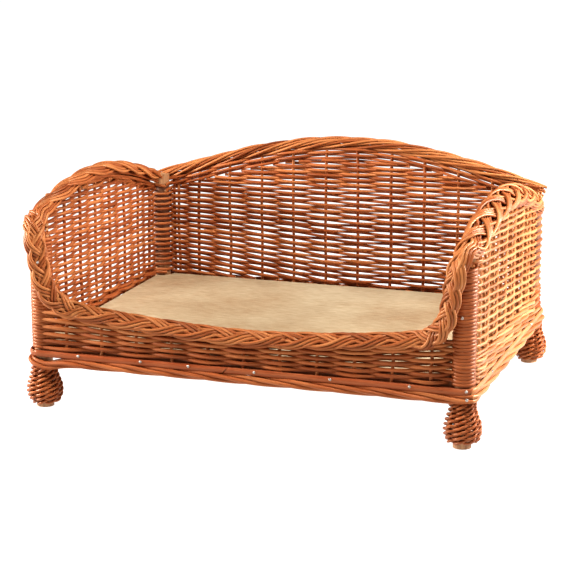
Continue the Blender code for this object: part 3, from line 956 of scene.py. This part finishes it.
def make_lower_border():
    """The rope-like border under the band: four rods twisted round each other, all round."""
    rods_in_rope = 4
    lay = 0.28
    corner_radius = 0.016
    rope_reach = 0.0045
    rod_radius = 0.0033
    dip = 0.0070
    dip_x = -0.318
    dip_width = 0.024
    path = corner_loop(BORDER_OUT, BORDER_Z + 0.0010, corner_radius)
    on_front = path[:, 1] < POST_FRONT_Y
    path[:, 2] -= dip * on_front * np.exp(-(((path[:, 0] - dip_x) / dip_width) ** 2))
    side, top = turned_frames(path)
    along = lengths_along(path)
    store = {name: Rods(200 + number) for number, name in enumerate(SIDES)}
    random = Random(33)
    turns = round(along[-1] / lay)
    for number in range(rods_in_rope):
        turn = along / along[-1] * turns * TURN + number * TURN / rods_in_rope
        reach = rope_reach * (1.0 + 0.08 * np.sin(along * 23.0 + random.uniform(0, 6)))
        points = path + side * (np.cos(turn) * reach)[:, None] + top * (np.sin(turn) * reach)[:, None]
        radius = rod_radius * random.uniform(0.94, 1.06)
        for name, start, end in by_side(path):
            store[name].add(points[start : end + 1], radius, random.uniform(0.0, 0.6))
    for name, rods in store.items():
        # The right side takes the paler lit copy of the willow: painted light.
        material = LIT_RIGHT_WILLOW if name == "right" else WILLOW
        rods.piece(f"lower_rope_{name}", material, [f"lower_border_{name}"])


def make_bands():
    """A flat split rod nailed round the base, with a slanted joint in front, over a packing rod that fills
    the slot between it and the rails."""
    half_height = 0.0049
    joint_share = 0.46
    joint_gap = 0.0020
    joint_slant = -0.9
    packing_out = 0.0143
    packing_radius = 0.0026
    path = corner_loop(BAND_OUT, BAND_Z, BAND_OUT)
    packing = corner_loop(packing_out, BAND_Z + 0.0015, packing_out)
    random = Random(34)
    along = lengths_along(path)
    path[:, 2] += 0.0006 * np.sin(along * 11.0) + 0.0003 * np.sin(along * 37.0)
    tangents = tangents_of(path)
    for number, name in enumerate(SIDES):
        rods = Rods(220 + number)
        slant = joint_slant if name == "front" else 0.0
        for start, end in [run[1:] for run in by_side(path) if run[0] == name]:
            stretches = [(start, end)]
            if name == "front":
                joint = start + int((end - start) * joint_share)
                stretches = [(start, joint), (joint, end)]
            for low, high in stretches:
                points = path[low : high + 1].copy()
                if high != end:
                    points[-1] -= joint_gap * tangents[high]
                shade = 0.45 + random.uniform(-0.15, 0.15)
                rods.add(points, half_height, shade, sides=14, thin=(0.50, 1.0), slant=slant)
        for start, end in [run[1:] for run in by_side(packing) if run[0] == name]:
            rods.add(packing[start : end + 1], packing_radius, 0.2)
        # The right side takes the paler lit copy of the willow: painted light.
        material = LIT_RIGHT_WILLOW if name == "right" else SPLIT_WILLOW
        rods.piece(f"band_strip_{name}", material, [f"band_{name}"], "willow_split")


def make_rim():
    """The back rim: five strands of two rods, twisted like a rope along the arch."""
    strands = 5
    rods_per_strand = 2
    lay = -0.25
    lead = 0.7
    strand_reach = 0.0070
    rod_reach = 0.0022
    rod_radius = 0.0023
    bundle_turn = 2.3
    end_x = RIM_END_X - 0.004
    path = resample(np.array([(x, RIM_Y, rim_height(x)) for x in np.linspace(-end_x, end_x, 150)]), 0.0045)
    rods = Rods(240)
    random = rods.random
    side, top = turned_frames(path)
    along = lengths_along(path)
    for strand in range(strands):
        tone = random.random()
        turn = along / lay * TURN + lead + strand * TURN / strands
        for number in range(rods_per_strand):
            own = turn + bundle_turn + number * TURN / rods_per_strand
            reach = strand_reach * (1.0 + 0.09 * np.sin(along * 31.0 + random.uniform(0, 6)))
            sideways = reach * np.cos(turn) + rod_reach * np.cos(own)
            upwards = reach * np.sin(turn) + rod_reach * np.sin(own)
            shade = tone_near(tone, random)
            points = path + side * sideways[:, None] + top * upwards[:, None]
            points = points[random.randint(0, 3) : len(points) - random.randint(0, 3)]
            rods.add(points, rod_radius * random.uniform(0.92, 1.06), shade)
    rods.piece("back_rim_rope", PLAIT_WILLOW, ["back_rim"])


def plait_line():
    """The plait's centre line, from the left arm's rear end, along the front, to the right arm's."""
    half = [(x, FRONT_PLAIT_Y, front_height(x)) for x in np.linspace(0.0, FRONT_PLAIT_END_X, 8)]
    half += CORNER_KNOTS
    half += [(ARM_PLAIT_X, y, arm_height(y)) for y in np.linspace(POST_FRONT_Y + 0.004, ARM_PLAIT_END_Y, 12)]
    left = [(-x, y, z) for x, y, z in reversed(half[1:])]
    return resample(smooth(left + half, 8), 0.0035)


def blend_along(point, values, riser_from, riser_reach, arm_reach):
    """Values for the front, the riser and the arm, passed from one to the next at a point of the plait."""
    x, y, z = point
    front, riser, arm = values
    on_riser = ease((abs(x) - riser_from) / riser_reach)
    on_arm = ease((y + 0.262) / arm_reach) if z > 0.25 else 0.0
    return (front * (1.0 - on_riser) + riser * on_riser) * (1.0 - on_arm) + arm * on_arm


def plait_face(point):
    """Direction the plait's face looks: up and outwards on the arms, inwards on the risers, up in front."""
    side = math.copysign(1.0, point[0])
    faces = np.array([(0.0, -0.70, 0.72), (side * -0.62, -0.78, 0.0), (side * 0.62, -0.12, 0.78)])
    return unit(blend_along(point, faces, 0.245, 0.050, 0.040))


def plait_sizes(point):
    """The plait's sizes at a place."""
    return blend_along(point, (FRONT_PLAIT_SIZES, RISER_PLAIT_SIZES, ARM_PLAIT_SIZES), 0.235, 0.060, 0.050)


def make_plaits():
    """The plait that runs over both arms, down their front edges and along the front, in five strands."""
    lift = 0.0024
    rod_gap = 2.0 * PLAIT_ROD_RADIUS * 1.02
    outer_rod_drop = 0.0006
    filler_inset = 0.0050
    filler_radius = 0.0030
    path = plait_line()
    tangents = tangents_of(path)
    faces = np.array([plait_face(p) for p in path])
    faces = unit(faces - tangents * np.sum(faces * tangents, axis=1)[:, None])
    wide = np.cross(tangents, faces)
    half_width, half_depth, wrap, lay = np.array([plait_sizes(p) for p in path]).T
    along = lengths_along(path)
    turn = np.concatenate([[0.0], np.cumsum(np.diff(along) / lay[1:])]) * TURN
    fan = np.array([ease((p[2] - 0.200) / 0.070) for p in path])

    def on_surface(swing, rise):
        """Points round the plait's core at an angle from its face, raised from its surface."""
        outwards = (half_depth + rise) * np.cos(swing)
        sideways = (half_width + rise) * np.sin(swing)
        return path + faces * outwards[:, None] + wide * sideways[:, None]

    on_front = (np.abs(path[:, 0]) <= FRONT_PLAIT_END_X) & (path[:, 2] < 0.2)
    first = int(np.argmax(on_front))
    last = len(path) - 1 - int(np.argmax(on_front[::-1]))
    parts = (("left", 0, first + 1), ("front", first, last + 1), ("right", last, len(path)))
    store = {name: Rods(260 + number) for number, (name, _, _) in enumerate(parts)}
    random = Random(35)
    for number in range(PLAIT_FILLERS):
        points = on_surface(TURN * number / PLAIT_FILLERS, -filler_inset)
        for name, low, high in parts:
            store[name].add(points[low:high], filler_radius, random.uniform(0.0, 0.3))
    for strand in range(PLAIT_STRANDS):
        phase = turn + strand * TURN / PLAIT_STRANDS
        swing = wrap * np.sin(phase)
        rise = -lift * np.tanh(2.2 * np.sin(2.0 * phase))
        centre = on_surface(swing, rise)
        normal = unit(on_surface(swing, rise + 0.001) - centre)
        across = unit(np.cross(normal, tangents_of(centre)))
        for front_place, arm_place in ((-1.0, -1.5), (0.0, -0.5), (1.0, 0.5), (1.0, 1.5)):
            place = front_place + (arm_place - front_place) * fan
            drop = np.abs(place) * outer_rod_drop
            points = centre + across * (place * rod_gap)[:, None] - normal * drop[:, None]
            tone = random.random()
            radius = PLAIT_ROD_RADIUS * random.uniform(0.94, 1.07)
            for name, low, high in parts:
                if name == "front" and arm_place == 1.5:
                    continue
                if name == "left":
                    low += random.randint(0, 5)
                if name == "right":
                    high -= random.randint(0, 5)
                store[name].add(points[low:high], radius, tone)
    nodes = {"left": "plait_arm_left", "front": "plait_front", "right": "plait_arm_right"}
    for name, node in nodes.items():
        store[name].piece(f"{node}_rods", PLAIT_WILLOW, [node])


# Nails and frame


def dome(name, centre, out, node=None):
    """A low domed nail head looking outwards, with a short rim."""
    crown = 0.00125
    profile = [(0.0008, 0.00118), (0.0015, 0.0009), (0.0021, 0.0004), (0.0023, 0.0), (0.0023, -0.0012)]
    sides = 10
    centre = Vector(centre)
    out = Vector(out).normalized()
    side = out.orthogonal().normalized()
    top = out.cross(side)
    vertices = [tuple(centre + out * crown)]
    faces = []
    for radius, height in profile:
        for step in range(sides):
            angle = TURN * step / sides
            across = side * (radius * math.cos(angle))
            upwards = top * (radius * math.sin(angle))
            vertices.append(tuple(centre + out * height + across + upwards))
    for step in range(sides):
        after = (step + 1) % sides
        faces.append((0, 1 + step, 1 + after))
        for ring in range(len(profile) - 1):
            low = 1 + ring * sides
            faces.append((low + step, low + sides + step, low + sides + after, low + after))
    last = 1 + (len(profile) - 1) * sides
    faces.append(tuple(last + step for step in reversed(range(sides))))
    mesh = bpy.data.meshes.new(name)
    mesh.from_pydata(vertices, [], faces)
    mesh.materials.append(NAIL)
    mesh.polygons.foreach_set("use_smooth", [True] * len(mesh.polygons))
    obj = add_object(name, mesh)
    if node:
        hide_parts(node)


def make_nails():
    """Domed heads where the CAD nails are, and four more in the corner and the plait."""
    band_face = BAND_OUT + 0.0024
    for node in sorted(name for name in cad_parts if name.startswith("nail_")):
        low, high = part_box(node)
        x, y, z = (Vector(low) + Vector(high)) / 2.0
        if "front" in node:
            spot, out = (x, POST_FRONT_Y - band_face, z), (0.0, -1.0, 0.0)
        elif "back" in node:
            spot, out = (x, POST_BACK_Y + band_face, z), (0.0, 1.0, 0.0)
        else:
            side = math.copysign(1.0, x)
            spot, out = (side * (POST_X + band_face), y, z), (side, 0.0, 0.0)
        dome(node + "_head", spot, out, node)
    corner_angle = math.radians(25.0)
    corner_out = (math.sin(corner_angle), -math.cos(corner_angle), 0.0)
    for number, (reach, height) in enumerate(((0.0215, 0.0885), (0.0262, 0.0775)), start=1):
        spot = (POST_X + reach * corner_out[0], POST_FRONT_Y + reach * corner_out[1], height)
        dome(f"nail_corner_{number}_head", spot, corner_out)
    dome("nail_plait_1_head", (-0.3150, -0.2800, 0.2360), (0.0, -1.0, 0.0))
    dome("nail_plait_2_head", (0.3310, -0.2570, 0.1960), (0.2, -1.0, 0.0))


def paint_frame():
    """Better materials for the CAD parts that stay."""
    looks = (
        ("base_board", board_material()),
        (("post_front", "post_back"), POST_WOOD),
        (("rail_", "base_slat_"), RAIL_WOOD),
    )
    for name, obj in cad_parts.items():
        for starts, material in looks:
            if name.startswith(starts):
                for place in obj.material_slots:
                    place.material = material


# Studio


def make_floor():
    """A wide pale floor."""
    bpy.ops.mesh.primitive_plane_add(size=60.0, location=(0.0, 10.0, 0.0))
    floor = bpy.context.object
    floor.name = "studio_floor"
    floor.data.materials.append(floor_material())


def make_lights():
    """A weak even sky, a key from the right, an edge light from the left, one overhead and a weak fill."""
    world = bpy.data.worlds.new("studio")
    bpy.context.scene.world = world
    world.use_nodes = True
    sky = world.node_tree.nodes["Background"]
    sky.inputs["Color"].default_value = (1.0, 1.0, 1.0, 1.0)
    sky.inputs["Strength"].default_value = 0.12
    aim_at = Vector((0.0, 0.0, 0.18))
    for name, place, size, watts in (
        ("key", (1.05, 0.35, 0.56), 0.35, 23.0),
        ("left_edge", (-1.60, -0.50, 0.62), 0.5, 50.0),
        ("overhead", (0.50, -0.60, 1.75), 0.5, 36.0),
        ("fill", (0.4, -3.6, 1.2), 2.2, 6.0),
    ):
        data = bpy.data.lights.new(name, "AREA")
        data.shape = "DISK"
        data.size = size
        data.energy = watts
        light = bpy.data.objects.new(name, data)
        light.location = place
        light.rotation_euler = (aim_at - Vector(place)).to_track_quat("-Z", "Y").to_euler()
        bpy.context.collection.objects.link(light)


def make_camera():
    """The camera at the photo's angle, with the studio's plain view settings."""
    look_down = 13.36
    look_left = 18.461
    data = bpy.data.cameras.new("camera")
    data.lens = 117.82
    data.sensor_width = 36.0
    camera = bpy.data.objects.new("camera", data)
    camera.location = (0.91029, -2.76826, 0.85017)
    camera.rotation_euler = (math.radians(90.0 - look_down), 0.0, math.radians(look_left))
    bpy.context.collection.objects.link(camera)
    bpy.context.scene.camera = camera
    bpy.context.scene.view_settings.view_transform = "Standard"
    bpy.context.scene.view_settings.look = "Medium High Contrast"


paint_frame()
make_ring_walls()
make_front_wall()
make_stakes()
make_windings()
make_feet()
make_lower_border()
make_bands()
make_rim()
make_plaits()
make_nails()
make_floor()
make_lights()
make_camera()
